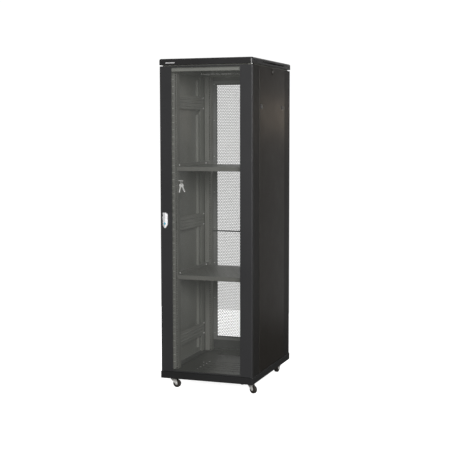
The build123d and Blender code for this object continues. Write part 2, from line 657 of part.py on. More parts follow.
def mesh_screw_points():
    """Screws down both sides of the perforated sheet."""
    return [(side * (MESH_HALF + 21), 213.0 + 245 * k) for side in (-1, 1) for k in range(8)]


def rear_mesh_screws():
    """Small screws of the perforated sheet, heads on the inner side."""
    y = REAR - 2 * SKIN
    return solids_of([screw(x, y, z, (0, 1, 0), 2.4, 3.2, 1.5, 2.0) for x, z in mesh_screw_points()])


def rear_lock():
    """Cam lock of the rear door: face, barrel and cam."""
    x, z, radius = REAR_LOCK_X, REAR_LOCK_Z, REAR_LOCK_R
    lock = rod(x, REAR + 0.2, z, radius + 3, 3, (0, 1, 0))
    lock = fillet(lock.edges().group_by(Axis.Y)[-1], 1.2)
    lock += rod(x, REAR - 22, z, radius, 22.5, (0, 1, 0))
    lock += block(x - 8, x + 24, REAR - 25, REAR - 22, z - 8, z + 8)
    return lock - block(x - 1, x + 1, REAR + 1, REAR + 5, z - 4.5, z + 4.5)


# ---------------------------------------------------------------- front handle
def handle_outline(inset):
    """Lever outline on the XZ plane, shrunk by `inset`, as a face that looks along -Y."""
    x = HANDLE_X
    with BuildSketch(Plane.XZ) as sketch:
        with BuildLine():
            Polyline(
                (x + 17 - inset, 1092),
                (x + 17 - inset, 1036),
                (x + 6, 1014 + inset),
            )
            ThreePointArc((x + 6, 1014 + inset), (x + 1, 1011.6 + inset), (x - 4, 1014 + inset))
            Polyline(
                (x - 4, 1014 + inset),
                (x - 14 + inset, 1031),
                (x - 14 + inset, 1062),
                (x - 18 + inset, 1080),
                (x - 12 + inset, 1087),
                (x - 16 + inset, 1107 - inset),
                (x, 1107 - inset),
            )
            shoulder = (x + 12 - inset * 0.7, 1103 - inset * 0.7)
            ThreePointArc((x, 1107 - inset), shoulder, (x + 17 - inset, 1092))
        make_face()
    return sketch.sketch


def handle_base():
    """Escutcheon screwed to the door behind the lever."""
    base = extrude(handle_outline(1.5), BASE_PLATE_THICK)
    base = Pos(0, FRONT, 0) * base
    base -= rod(HANDLE_X, FRONT - 10, SPINDLE_Z, 6.05, 20, (0, 1, 0))
    return base


def handle_spindle():
    """Shaft through the door with the lever's pivot tongue in front and the cam behind."""
    shaft = rod(HANDLE_X, FRONT - BASE_PLATE_THICK, SPINDLE_Z, 6.0, BASE_PLATE_THICK + 24.8, (0, 1, 0))
    tongue = block(HANDLE_X - 4, HANDLE_X + 4, FRONT - PIVOT_OUT, FRONT - BASE_PLATE_THICK, SPINDLE_Z - 4.2,
                   SPINDLE_Z + 4.2)
    tongue += rod(HANDLE_X - 4, FRONT - PIVOT_OUT, SPINDLE_Z, 4.2, 8, (1, 0, 0))
    pivot = rod(HANDLE_X - 12, FRONT - PIVOT_OUT, SPINDLE_Z, 2.0, 24, (1, 0, 0))
    cam = block(HANDLE_X + 8, HANDLE_X - 28, FRONT + 21.5, FRONT + 24.5, SPINDLE_Z - 8, SPINDLE_Z + 8)
    return shaft + tongue + pivot + fillet(cam.edges().filter_by(Axis.Y), 3)


def handle_lever():
    """Faceted swing lever with its pivot slot, lock bore and a flat seat for the key cover."""
    lever = extrude(handle_outline(0), 30)
    lever = Pos(0, FRONT + 2, 0) * lever
    x = HANDLE_X
    section = [(x - 24, -4.3), (x - 24, -10.5), (x + 3, -18.0), (x + 19, -12.5), (x + 19, -4.3)]
    ridge = plate([(px, FRONT + py) for px, py in section], 120, Plane.XY.offset(1000))
    lever = lever & ridge
    pivot_y = FRONT - PIVOT_OUT
    side_view = block(x - 30, x + 30, FRONT - 19, FRONT - 4.3, 1000, SPINDLE_Z)
    crest = [(FRONT - 19, SPINDLE_Z), (pivot_y + 0.4, SPINDLE_Z), (pivot_y - 3, 1110), (FRONT - 19, 1110)]
    side_view += plate(crest, 60, Plane.YZ.offset(x - 30))
    side_view += rod(x - 30, pivot_y, SPINDLE_Z, 6.8, 60, (1, 0, 0))
    lever = lever & side_view
    seat = rod(LOCK_X, FRONT - 8, LOCK_Z, 8.2, KEY_SEAT_OUT - 8, (0, -1, 0))
    lever += seat
    lever -= block(x - 4.3, x + 4.3, FRONT - 15.8, FRONT, SPINDLE_Z - 10, SPINDLE_Z + 20)
    lever -= rod(x - 12.3, pivot_y, SPINDLE_Z, 2.05, 24.6, (1, 0, 0))
    lever -= rod(LOCK_X, FRONT, LOCK_Z, 6.05, 30, (0, -1, 0))
    lever -= rod(LOCK_X, FRONT - KEY_SEAT_OUT - 1, LOCK_Z + 7.1 + FLAP_EAR, 1.05, 6, (0, 1, 0))
    return lever


def lock_cylinder():
    """Key cylinder in the lever, with its keyway."""
    barrel = rod(LOCK_X, FRONT - 4.8, LOCK_Z, 6.0, KEY_SEAT_OUT - 4.8 - 0.4, (0, -1, 0))
    face = FRONT - KEY_SEAT_OUT + 0.4
    return barrel - block(LOCK_X - 0.9, LOCK_X + 0.9, face - 1, face + 5, LOCK_Z - 3.8, LOCK_Z + 3.8)


def key_flap():
    """Round dust cover of the key hole, on a small pivot pin above it."""
    y = FRONT - KEY_SEAT_OUT - 0.2
    disc = rod(LOCK_X, y, LOCK_Z, 7.1, 1.6, (0, -1, 0))
    ear_z = LOCK_Z + 7.1 + FLAP_EAR
    ear = rod(LOCK_X, y, ear_z, 2.2, 1.6, (0, -1, 0))
    neck = block(LOCK_X - 2.2, LOCK_X + 2.2, y, y - 1.6, LOCK_Z, ear_z)
    flap = disc + ear + neck
    flap = fillet(flap.faces().sort_by(Axis.Y)[0].edges(), 0.5)
    return flap + rod(LOCK_X, y, ear_z, 1.0, 4.0, (0, 1, 0))


# ---------------------------------------------------------------- side panels
def side_panel(side):
    """Lift-off side panel: shallow pan with latch recesses, a raised lock seat and stiffeners."""
    outer = side * HALF_W
    rim = side * (HALF_W - PANEL_DEPTH)
    skin = side * (HALF_W - SKIN)
    pan = block(outer, rim, PANEL_FRONT_Y, PANEL_REAR_Y, LEAF_BOTTOM, LEAF_TOP)
    pan = fillet(pan.faces().sort_by(Axis.X)[-1 if side > 0 else 0].edges(), 1.2)
    pan -= block(skin, rim - side * 1, PANEL_FRONT_Y + SKIN, PANEL_REAR_Y - SKIN, LEAF_BOTTOM + SKIN,
                 LEAF_TOP - SKIN)
    for y in STIFFENER_Y:
        for z0, z1 in ((LEAF_BOTTOM + 30, LATCH_Z - 40), (LATCH_Z + 40, 1950)):
            channel = block(skin, side * 282.6, y - 13, y + 13, z0, z1)
            channel -= block(skin, side * 284.1, y - 11.5, y + 11.5, z0 - 1, z1 + 1)
            pan += channel
    for y in LATCH_Y:
        tray = block(skin, side * LATCH_FLOOR, y - 27.5, y + 27.5, LATCH_Z - 14.5, LATCH_Z + 14.5)
        pan += tray
        pan -= block(outer + side * 5, side * (LATCH_FLOOR + SKIN), y - 26, y + 26, LATCH_Z - 13,
                     LATCH_Z + 13)
        pan -= block(outer, side * (LATCH_FLOOR - 1), y - 14, y + 14, LATCH_Z - 4.2, LATCH_Z + 4.2)
    boss = SlotOverall(34, 19, rotation=90)
    seat_plane = Plane(origin=(skin, SIDE_LOCK_Y, SIDE_LOCK_Z), x_dir=(0, 1, 0), z_dir=(side, 0, 0))
    seat = extrude(seat_plane * boss, SKIN + 2.4)
    pan += fillet(seat.faces().sort_by(Axis.X)[-1 if side > 0 else 0].edges(), 1.0)
    pan -= rod(outer + side * 8, SIDE_LOCK_Y, SIDE_LOCK_Z, SIDE_LOCK_R + 0.05, 14, (-side, 0, 0))
    return pan


def panel_latch(side, y):
    """Slide latch: grooved thumb piece in the recess, neck and flat bolt behind the panel."""
    toward = -1 if y < 0 else 1
    edge = PANEL_FRONT_Y if toward < 0 else PANEL_REAR_Y
    top = side * (HALF_W - 0.6)
    floor = side * (LATCH_FLOOR + SKIN + 0.3)
    thumb = block(top, floor, y - 10, y + 10, LATCH_Z - 12, LATCH_Z + 12)
    thumb = fillet(thumb.edges().filter_by(Axis.X), 2)
    for offset in (-6, -2, 2, 6):
        thumb -= block(top + side, top - side * 1.2, y + offset - 0.8, y + offset + 0.8, LATCH_Z - 9,
                       LATCH_Z + 9)
    neck = block(floor, side * (LATCH_FLOOR - 0.3), y - 4, y + 4, LATCH_Z - 3.9, LATCH_Z + 3.9)
    bolt = block(side * (LATCH_FLOOR - 0.3), side * (LATCH_FLOOR - 2.8), y - toward * 8, edge - toward * 2.2,
                 LATCH_Z - 8, LATCH_Z + 8)
    return thumb + neck + bolt


def side_lock(side):
    """Cylinder lock at the top of a side panel, with a short cam."""
    face = HALF_W + 3.0
    back = 294.0
    lock = rod(side * back, SIDE_LOCK_Y, SIDE_LOCK_Z, SIDE_LOCK_R, face - back, (side, 0, 0))
    lock += block(side * (back - 2), side * back, SIDE_LOCK_Y - 6, SIDE_LOCK_Y + 6, SIDE_LOCK_Z - 7,
                  SIDE_LOCK_Z + 16)
    return lock - block(side * face, side * (face - 4), SIDE_LOCK_Y - 0.9, SIDE_LOCK_Y + 0.9,
                        SIDE_LOCK_Z - 4, SIDE_LOCK_Z + 4)


# ---------------------------------------------------------------- casters and levelling feet
def caster_plates():
    """Bolted top plates with their swivel races, king pins and bolts."""
    pieces = []
    for (x, y), _, _ in CORNERS.values():
        top = block(x - 25, x + 25, y - 25, y + 25, BASE_BOTTOM - 2.5, BASE_BOTTOM)
        top = fillet(top.edges().filter_by(Axis.Z), 5)
        race = rod(x, y, BASE_BOTTOM - 7, 19, 4.5, (0, 0, 1))
        race = fillet(race.edges().group_by(Axis.Z)[0], 1.5)
        pin = rod(x, y, CROWN_BOTTOM - 1.7, 4.0, BASE_BOTTOM - CROWN_BOTTOM + 1.7, (0, 0, 1))
        pin += rod(x, y, CROWN_BOTTOM - 1.7, 7.0, 1.4, (0, 0, 1))
        plate_piece = top + race + pin
        half = CASTER_BOLT_SPACING / 2
        for i in (-1, 1):
            for j in (-1, 1):
                plate_piece += rod(x + i * half, y + j * half, BASE_BOTTOM - 5, 4.8, 2.5, (0, 0, 1))
                plate_piece += rod(x + i * half, y + j * half, BASE_BOTTOM - 1, 3.0, 8, (0, 0, 1))
        pieces.append(plate_piece)
    return solids_of(pieces)


def caster_fork(corner):
    """Pressed fork with its crown and legs, and the wheel's axle as a second solid."""
    crown = rod(0, 0, CROWN_BOTTOM, 20, 2.5, (0, 0, 1))
    crown += block(0, TRAIL - 4, -14, 14, CROWN_BOTTOM, CROWN_BOTTOM + 2.5)
    leg_outline = [(-15, CROWN_BOTTOM + 2.5), (TRAIL - 2, CROWN_BOTTOM + 2.5), (TRAIL + 7, WHEEL_R + 4),
                   (TRAIL + 6.5, WHEEL_R - 4), (TRAIL, WHEEL_R - 7.5), (TRAIL - 6.5, WHEEL_R - 4)]
    fork = crown
    for side in (-1, 1):
        leg = plate(leg_outline, 2.0 * side, Plane.XZ.offset(-side * 12.0))
        fork += leg
    fork -= rod(0, 0, CROWN_BOTTOM - 1, 4.05, 5, (0, 0, 1))
    fork -= rod(TRAIL, -20, WHEEL_R, 3.05, 40, (0, 1, 0))
    axle = rod(TRAIL, -15.5, WHEEL_R, 3.0, 31, (0, 1, 0))
    for y in (-15.5, 13.9):
        axle += rod(TRAIL, y, WHEEL_R, 5.0, 1.6, (0, 1, 0))
    return solids_of([place_caster(fork, corner), place_caster(axle, corner)])


def caster_wheel(corner):
    """Moulded wheel with a rounded tread and a recessed web."""
    wheel = rod(TRAIL, -WHEEL_WIDE / 2, WHEEL_R, WHEEL_R, WHEEL_WIDE, (0, 1, 0))
    wheel = fillet(wheel.edges(), 3.5)
    for start in (-WHEEL_WIDE / 2 - 1, WHEEL_WIDE / 2 - 3):
        groove = rod(TRAIL, start, WHEEL_R, 18, 4, (0, 1, 0)) - rod(TRAIL, start, WHEEL_R, 8, 4, (0, 1, 0))
        wheel -= groove
    for y in (-WHEEL_WIDE / 2 - 2.4, WHEEL_WIDE / 2):
        wheel += rod(TRAIL, y, WHEEL_R, 5.5, 2.4, (0, 1, 0))
    wheel -= rod(TRAIL, -20, WHEEL_R, 3.06, 40, (0, 1, 0))
    return place_caster(wheel, corner)


def place_caster(shape, corner):
    """Move a caster piece drawn about the Z axis to its corner, turned to its rest direction."""
    (x, y), heading, _ = CORNERS[corner]
    return Pos(x, y, 0) * Rot(0, 0, heading) * shape


def levelling_foot(corner):
    """Threaded levelling foot, screwed up clear of the floor."""
    _, _, (x, y) = CORNERS[corner]
    pad = rod(x, y, FOOT_BOTTOM, 10, 5, (0, 0, 1))
    pad = fillet(pad.edges().group_by(Axis.Z)[0], 1.5)
    flats = extrude(Plane.XY.offset(FOOT_BOTTOM + 5) * Pos(x, y) * RegularPolygon(8, 6), 3)
    return pad + flats + rod(x, y, FOOT_BOTTOM + 2, FOOT_STUD_R, 92, (0, 0, 1))


# ---------------------------------------------------------------- keys
def keys():
    """Two keys on a split ring that hangs on a peg at the front left rail."""
    ring_z = KEY_PEG_Z + 2.0 + KEY_WIRE + 0.1 - KEY_RING_R
    ring = Pos(KEY_X, KEY_Y, ring_z) * Rot(0, 90, 0) * Torus(KEY_RING_R, KEY_WIRE)
    pieces = [ring]
    hang_z = ring_z - KEY_RING_R
    for offset, lean in ((-2.2, 14), (2.2, -24)):
        key = Pos(0, 0, -9) * Rot(90, 0, 0) * Cylinder(11, 2)
        key += Pos(0, 0, -36) * Box(8, 2, 36)
        for notch in range(4):
            key -= Pos(4, 0, -28 - 6 * notch) * Box(3.2, 3, 3)
        key -= Rot(90, 0, 0) * Cylinder(3, 6)
        pieces.append(Pos(KEY_X, KEY_Y + offset, hang_z - 1.9) * Rot(0, lean, 0) * key)
    return solids_of(pieces)


def main():
    """Build and write every node."""
    os.makedirs("parts", exist_ok=True)
    save("base_frame", base_frame())
    save("base_plate", base_plate())
    save("top_frame", top_frame())
    save("roof_cover", roof_cover())
    save("fan_plate", fan_plate())
    for end_name, end in (("front", -1), ("rear", 1)):
        rail_y = FRONT_RAIL_Y if end < 0 else REAR_RAIL_Y
        for side_name, side in (("left", -1), ("right", 1)):
            save(f"{end_name}_{side_name}_post", post(side, end))
            save(f"{end_name}_{side_name}_rail", rail(side, rail_y))
    for name, level in SHELF_LEVELS.items():
        save(name, shelf(level))
    save("shelf_brackets", shelf_brackets())
    save("frame_screws", frame_screws())
    save("fan_housings", solids_of([fan_housing(x) for x in FAN_X]))
    save("fan_rotor_left", fan_rotor(FAN_X[0]))
    save("fan_rotor_right", fan_rotor(FAN_X[1]))
    save("fan_guards", fan_guards())
    save("fan_wires", fan_wires())
    save("front_door_frame", front_door_frame())
    save("front_door_glass", front_door_glass())
    save("front_door_gasket", front_door_gasket())
    save("door_hinge_pins", door_hinge_pins())
    save("handle_base", handle_base())
    save("handle_spindle", handle_spindle())
    save("handle_lever", handle_lever())
    save("lock_cylinder", lock_cylinder())
    save("key_flap", key_flap())
    save("rear_door_frame", rear_door_frame())
    save("rear_door_mesh", rear_door_mesh())
    save("rear_mesh_screws", rear_mesh_screws())
    save("rear_lock", rear_lock())
    for side_name, side in (("left", -1), ("right", 1)):
        save(f"{side_name}_side_struts", side_struts(side))
        save(f"{side_name}_side_panel", side_panel(side))
        save(f"{side_name}_side_lock", side_lock(side))
        save(f"{side_name}_front_latch", panel_latch(side, LATCH_Y[0]))
        save(f"{side_name}_rear_latch", panel_latch(side, LATCH_Y[1]))
    save("caster_plates", caster_plates())
    for corner in CORNERS:
        save(f"{corner}_fork", caster_fork(corner))
        save(f"{corner}_wheel", caster_wheel(corner))
        save(f"{corner}_foot", levelling_foot(corner))
    save("keys", keys())


main()
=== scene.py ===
"""Looks of the network rack cabinet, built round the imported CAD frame.

Everything is in metres in the row frame: +Z up, -Y the front, +X the right seen from the front.
"""

from math import cos, pi, radians, sin, sqrt

import bmesh
import bpy
from mathutils import Matrix, Vector


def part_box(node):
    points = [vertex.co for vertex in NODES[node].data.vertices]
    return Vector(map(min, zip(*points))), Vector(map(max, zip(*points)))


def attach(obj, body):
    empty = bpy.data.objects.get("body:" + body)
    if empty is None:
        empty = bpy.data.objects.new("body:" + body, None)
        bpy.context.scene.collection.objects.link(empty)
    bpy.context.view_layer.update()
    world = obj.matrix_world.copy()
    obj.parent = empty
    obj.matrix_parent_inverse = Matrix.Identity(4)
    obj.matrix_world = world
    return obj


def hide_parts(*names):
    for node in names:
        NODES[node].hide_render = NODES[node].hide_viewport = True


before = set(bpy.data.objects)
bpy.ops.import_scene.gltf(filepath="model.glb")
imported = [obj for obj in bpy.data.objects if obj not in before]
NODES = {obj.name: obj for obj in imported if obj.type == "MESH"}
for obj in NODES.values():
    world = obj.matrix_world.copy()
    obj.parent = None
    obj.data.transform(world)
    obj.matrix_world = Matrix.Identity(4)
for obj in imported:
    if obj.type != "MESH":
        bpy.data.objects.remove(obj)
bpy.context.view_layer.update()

# ---------------------------------------------------------------- driving values, in metres
HEX_PITCH = 0.0122  # between the holes of the rear panel
HEX_WEB = 0.0027
SIDE_BORDER = 0.019  # plain border beside the holes
END_BORDER = 0.016  # plain border at the top and bottom of the door
BAR_BORDER = 0.003  # plain border behind the cross bar
STIFFENER_Z = 0.925  # middle of the rear door's cross bar

UNIT = 0.04445  # one rack unit
UNITS = 42
MARK_START = 0.243  # inner end of a unit mark, from the middle of the cabinet
MARK_LONG = 0.014
MARK_TALL = 0.0022
MARK_RISE = 0.00015

BADGE_HALF_LONG = 0.030
BADGE_HALF_TALL = 0.0035
BADGE_RISE = 0.0008
BADGE_ASIDE = 0.075  # from the cover's left edge to the badge's middle
BADGE_UP = 0.012  # from the cover's lower edge
BADGE_END_STEPS = 8

# Nearer the middle than these, inner faces get a lighter colour: painted light for the inside of the
# cabinet.
POST_WALL_X = 0.2975  # beyond this the posts and struts are outer walls
PANEL_WALL_X = 0.2987

FLOOR_SIDE = 5.0
BACKDROP_SIZE = (5.0, 4.0)
BACKDROP_EDGE = 0.85  # right-hand edge of the backdrop
BACKDROP_Y = 3.2
BACKDROP_MIDDLE_Z = 1.8
SURROUND_WHITE = 1.05  # seen by the camera
SURROUND_GLOW = 0.08  # falls on the object

WHITE = (1.0, 1.0, 1.0)
# Name: (place, target, size, energy in watts, colour)
LIGHTS = {
    "key_light": ((2.6, -6.0, 2.7), (0.0, 0.0, 1.3), 2.2, 430.0, WHITE),
    "warm_side_light": ((0.76, 2.6, 1.75), (0.3, 0.4, 1.6), 0.22, 0.45, (1.0, 0.8, 0.6)),
    "right_fill": ((6.0, 0.6, 2.0), (0.0, 0.0, 1.0), 3.0, 60.0, WHITE),
    "left_fill": ((-6.0, 0.6, 2.0), (0.0, 0.0, 1.0), 3.0, 60.0, WHITE),
    "top_fill": ((0.0, 0.6, 6.0), (0.0, 0.0, 1.0), 3.0, 60.0, WHITE),
}

CAMERA_PLACE = (2.2792, -6.4201, 1.6013)
CAMERA_YAW = radians(19.687)
CAMERA_PITCH = radians(5.014)
CAMERA_ROLL = radians(-0.10)
CAMERA_LENS = 84.49
SENSOR_WIDTH = 36.0
CLIP_END = 100.0

CORNERS = ("front_left", "front_right", "rear_left", "rear_right")
PANEL_LATCHES = ("left_front_latch", "left_rear_latch", "right_front_latch", "right_rear_latch")


# ---------------------------------------------------------------- node helpers
class Shader:
    """Small helper that adds linked nodes to one material."""

    def __init__(self, name):
        self.material = bpy.data.materials.new(name)
        self.material.use_nodes = True
        self.tree = self.material.node_tree
        self.tree.nodes.clear()
        self.output = self.tree.nodes.new("ShaderNodeOutputMaterial")
        self.coords = self.tree.nodes.new("ShaderNodeTexCoord").outputs["Object"]

    def node(self, kind, inputs=None, **settings):
        made = self.tree.nodes.new(kind)
        for key, value in settings.items():
            setattr(made, key, value)
        for key, value in (inputs or {}).items():
            if isinstance(value, bpy.types.NodeSocket):
                self.tree.links.new(value, made.inputs[key])
            else:
                made.inputs[key].default_value = value
        return made

    def scaled(self, scale):
        """Object coordinates stretched by a scale along each axis."""
        return self.node("ShaderNodeMapping", {"Vector": self.coords, "Scale": scale}).outputs["Vector"]

    def noise(self, scale, detail=3.0, rough=0.5, vector=None):
        made = self.node("ShaderNodeTexNoise", {
            "Vector": vector or self.coords, "Scale": scale, "Detail": detail, "Roughness": rough,
        })
        return made.outputs["Fac"]

    def ramp(self, factor, stops, mode="LINEAR"):
        made = self.node("ShaderNodeValToRGB", {"Fac": factor})
        made.color_ramp.interpolation = mode
        elements = made.color_ramp.elements
        while len(elements) < len(stops):
            elements.new(0.5)
        for element, (position, color) in zip(elements, stops):
            element.position = position
            element.color = (*color, 1.0)
        return made.outputs["Color"]

    def range(self, factor, low, high, start=0.0, stop=1.0):
        made = self.node("ShaderNodeMapRange", {
            "Value": factor, "From Min": start, "From Max": stop, "To Min": low, "To Max": high,
        })
        return made.outputs["Result"]

    def bump(self, height, strength, distance, normal=None):
        inputs = {"Height": height, "Strength": strength, "Distance": distance}
        if normal is not None:
            inputs["Normal"] = normal
        return self.node("ShaderNodeBump", inputs).outputs["Normal"]

    def finish(self, **inputs):
        shader = self.node("ShaderNodeBsdfPrincipled", {k.replace("_", " "): v for k, v in inputs.items()})
        self.tree.links.new(shader.outputs["BSDF"], self.output.inputs["Surface"])
        return self.material


def shade(color, factor):
    """A colour made lighter or darker."""
    return tuple(min(1.0, c * factor) for c in color)


# ---------------------------------------------------------------- materials
def powder_coat(name, color, roughness=0.42, grain=0.35, specular=0.5, outside=None):
    """Satin powder coat: fine orange peel, faint dust and a slow drift of tone.

    outside, if given, is (colour, x): the coat has that colour, the paint's own, further out than x; nearer
    the middle the lighter colour is painted light, standing in for the light inside the cabinet.
    """
    s = Shader(name)
    drift = s.noise(2.3, 2.0)
    speck = s.noise(900.0, 2.0, 0.7)
    tone = s.ramp(drift, [(0.25, shade(color, 0.88)), (0.75, shade(color, 1.12))])
    fleck = s.ramp(speck, [(0.35, (0.9, 0.9, 0.9)), (0.72, (1.16, 1.16, 1.16))])
    base = s.node("ShaderNodeMix", {"Factor": 1.0, "A": tone, "B": fleck}, data_type="RGBA",
                  blend_type="MULTIPLY").outputs["Result"]
    if outside:
        far_color, far_x = outside
        across = s.node("ShaderNodeSeparateXYZ", {"Vector": s.coords}).outputs["X"]
        size = s.node("ShaderNodeMath", {0: across}, operation="ABSOLUTE").outputs["Value"]
        beyond = s.node("ShaderNodeMath", {0: size, 1: far_x}, operation="GREATER_THAN").outputs["Value"]
        base = s.node("ShaderNodeMix", {"Factor": beyond, "A": base, "B": (*far_color, 1.0)},
                      data_type="RGBA").outputs["Result"]
    peel = s.noise(420.0, 3.0, 0.6)
    smear = s.noise(5.0, 4.0, 0.65)
    return s.finish(Base_Color=base, Roughness=s.range(smear, roughness - 0.06, roughness + 0.08),
                    Normal=s.bump(peel, grain, 0.0004), Specular_IOR_Level=specular)


def zinc(name, color=(0.62, 0.61, 0.58), roughness=0.32, metallic=1.0):
    """Zinc-plated steel: patchy crystals and fine scratches."""
    s = Shader(name)
    cells = s.node("ShaderNodeTexVoronoi", {"Vector": s.coords, "Scale": 260.0}).outputs["Color"]
    grey = s.node("ShaderNodeRGBToBW", {"Color": cells}).outputs["Val"]
    tone = s.ramp(grey, [(0.1, shade(color, 0.82)), (0.9, shade(color, 1.12))])
    scratch = s.noise(90.0, 5.0, 0.7, s.scaled((1.0, 1.0, 14.0)))
    return s.finish(Base_Color=tone, Metallic=metallic,
                    Roughness=s.range(scratch, roughness - 0.1, roughness + 0.16),
                    Normal=s.bump(scratch, 0.12, 0.0003))


def polished(name, color, roughness=0.12, metallic=0.75):
    """Bright plated metal with faint smudges."""
    s = Shader(name)
    smudge = s.noise(60.0, 4.0, 0.6)
    tone = s.ramp(smudge, [(0.3, shade(color, 0.94)), (0.7, color)])
    return s.finish(Base_Color=tone, Metallic=metallic,
                    Roughness=s.range(smudge, roughness, roughness + 0.12),
                    Normal=s.bump(smudge, 0.04, 0.0004))


def plastic(name, color, roughness=0.45, grain=0.2, scale=700.0):
    """Moulded plastic with a fine spark-eroded grain."""
    s = Shader(name)
    grit = s.noise(scale, 2.0, 0.6)
    drift = s.noise(25.0, 3.0)
    tone = s.ramp(drift, [(0.3, shade(color, 0.85)), (0.7, shade(color, 1.15))])
    return s.finish(Base_Color=tone, Roughness=s.range(drift, roughness - 0.05, roughness + 0.1),
                    Normal=s.bump(grit, grain, 0.0003))


def tread(name):
    """Caster wheel: dark moulded tread with patches of dust."""
    s = Shader(name)
    dust = s.noise(140.0, 5.0, 0.7)
    tone = s.ramp(dust, [(0.35, (0.018, 0.017, 0.016)), (0.62, (0.05, 0.043, 0.036)),
                         (0.8, (0.13, 0.11, 0.09))])
    grit = s.noise(600.0, 2.0, 0.6)
    return s.finish(Base_Color=tone, Roughness=s.range(dust, 0.35, 0.7), Normal=s.bump(grit, 0.25, 0.0004))


def pane(name):
    """Tempered glass, mostly clear, with a faint grey veil of painted reflection, which the lamps light, in
    place of light reflected off the glass.
    """
    s = Shader(name)
    painted_reflection_veil = s.noise(3.5, 4.0, 0.55)
    tone = s.ramp(painted_reflection_veil, [(0.3, (0.27, 0.28, 0.26)), (0.7, (0.36, 0.37, 0.34))])
    alpha = s.range(painted_reflection_veil, 0.06, 0.08, 0.3, 0.7)
    material = s.finish(Base_Color=tone, Roughness=0.04, Alpha=alpha, IOR=1.5)
    material.surface_render_method = "BLENDED"
    return material


def rubber(name):
    """Extruded black rubber with fine length-wise lines."""
    s = Shader(name)
    lines = s.noise(500.0, 2.0, 0.5, s.scaled((1.0, 1.0, 0.05)))
    tone = s.ramp(lines, [(0.3, (0.012, 0.012, 0.012)), (0.7, (0.028, 0.028, 0.028))])
    return s.finish(Base_Color=tone, Roughness=0.65, Normal=s.bump(lines, 0.3, 0.0004))


def leads(name):
    """Insulation of the fan leads: the lower lead is dark, the upper ones are coloured."""
    s = Shader(name)
    height = s.node("ShaderNodeSeparateXYZ", {"Vector": s.coords}).outputs["Z"]
    tone = s.ramp(s.range(height, 0.0, 1.0, 1.93, 2.01),
                  [(0.0, (0.03, 0.03, 0.032)), (0.56, (0.06, 0.14, 0.5)), (0.765, (0.7, 0.5, 0.07))],
                  "CONSTANT")
    gloss = s.noise(400.0, 3.0)
    return s.finish(Base_Color=tone, Roughness=s.range(gloss, 0.3, 0.5), Normal=s.bump(gloss, 0.1, 0.0003))


def print_ink(name, color):
    """Light printing ink on the rails."""
    s = Shader(name)
    wear = s.noise(350.0, 4.0, 0.7)
    tone = s.ramp(wear, [(0.3, shade(color, 0.7)), (0.6, color)])
    return s.finish(Base_Color=tone, Roughness=0.6, Normal=s.bump(wear, 0.1, 0.0002))


def dress(material, *names):
    """Give carried-over CAD nodes a material."""
    for name in names:
        slots = NODES[name].material_slots
        if slots:
            for entry in slots:
                entry.material = material
        else:
            NODES[name].data.materials.append(material)


def dress_cabinet():
    """Materials of every CAD node that shows."""
    # The inside colour is painted light: the same black paint as outside, made lighter to stand in for the
    # light inside the cabinet. Beyond POST_WALL_X the outer walls keep the paint's own black.
    steel = powder_coat("painted_light_interior_steel", (0.17, 0.172, 0.156), 0.5, 0.12,
                        outside=((0.010, 0.009, 0.008), POST_WALL_X))
    # The rails' grey is painted light: lighter than their black paint, standing in for the light inside the
    # cabinet.
    rails = powder_coat("rail_paint_painted_light", (0.125, 0.125, 0.113), 0.5, 0.12)
    dress(steel, "top_frame", "fan_plate", "front_left_post", "front_right_post", "rear_left_post",
          "rear_right_post", "left_side_struts", "right_side_struts", "shelf_brackets")
    dress(powder_coat("floor_paint", (0.019, 0.019, 0.0165), 0.45, 0.12), "base_plate")
    dress(rails, "front_left_rail", "front_right_rail", "rear_left_rail", "rear_right_rail")
    # The shelves' grey is painted light: lighter than their black paint, standing in for the light inside
    # the cabinet.
    dress(powder_coat("shelf_paint_painted_light", (0.11, 0.11, 0.10), 0.45, 0.12), "upper_shelf", "lower_shelf")
    dress(powder_coat("door_paint", (0.028, 0.028, 0.0294), 0.42), "front_door_frame", "rear_door_frame")
    dress(powder_coat("cover_paint_dark", (0.02, 0.0195, 0.020), 0.34), "roof_cover")
    dress(powder_coat("base_paint_dark", (0.017, 0.017, 0.0175), 0.4), "base_frame")
    # Beyond PANEL_WALL_X the side panels keep their own dark paint. Their inner faces are painted light,
    # made lighter to stand in for the light inside the cabinet.
    dress(powder_coat("side_paint_and_painted_light", (0.15, 0.152, 0.138), 0.36, 0.3, 0.36,
                      outside=((0.0135, 0.0108, 0.0076), PANEL_WALL_X)),
          "left_side_panel", "right_side_panel")
    dress(pane("door_glass"), "front_door_glass")
    dress(rubber("door_seal"), "front_door_gasket")
    dress(zinc("bright_zinc", (0.85, 0.85, 0.83), 0.3, 0.3), "frame_screws", "door_hinge_pins", "keys")
    dress(zinc("dull_zinc"), "rear_mesh_screws", "caster_plates")
    dress(zinc("caster_bright", (0.86, 0.85, 0.82), 0.26, 0.35),
          *[f"{corner}_fork" for corner in CORNERS])
    dress(polished("guard_chrome", (0.9, 0.9, 0.88), 0.12, 0.3), "fan_guards")
    dress(polished("lever_chrome", (0.9, 0.9, 0.91), 0.22, 0.2), "handle_lever")
    dress(plastic("handle_grey", (0.1, 0.1, 0.105)), "handle_base")
    dress(zinc("lock_steel", (0.5, 0.5, 0.5)), "handle_spindle", "lock_cylinder", "rear_lock",
          "left_side_lock", "right_side_lock")
    dress(plastic("key_cover_blue", (0.13, 0.42, 0.55), 0.3, 0.05), "key_flap")
    dress(plastic("latch_plastic", (0.045, 0.045, 0.05), 0.35), *PANEL_LATCHES)
    dress(plastic("fan_plastic", (0.016, 0.016, 0.017)), "fan_housings", "fan_rotor_left", "fan_rotor_right")
    dress(leads("lead_insulation"), "fan_wires")
    dress(tread("wheel_tread"), *[f"{corner}_wheel" for corner in CORNERS])
    dress(plastic("foot_plastic", (0.015, 0.015, 0.016)), *[f"{corner}_foot" for corner in CORNERS])


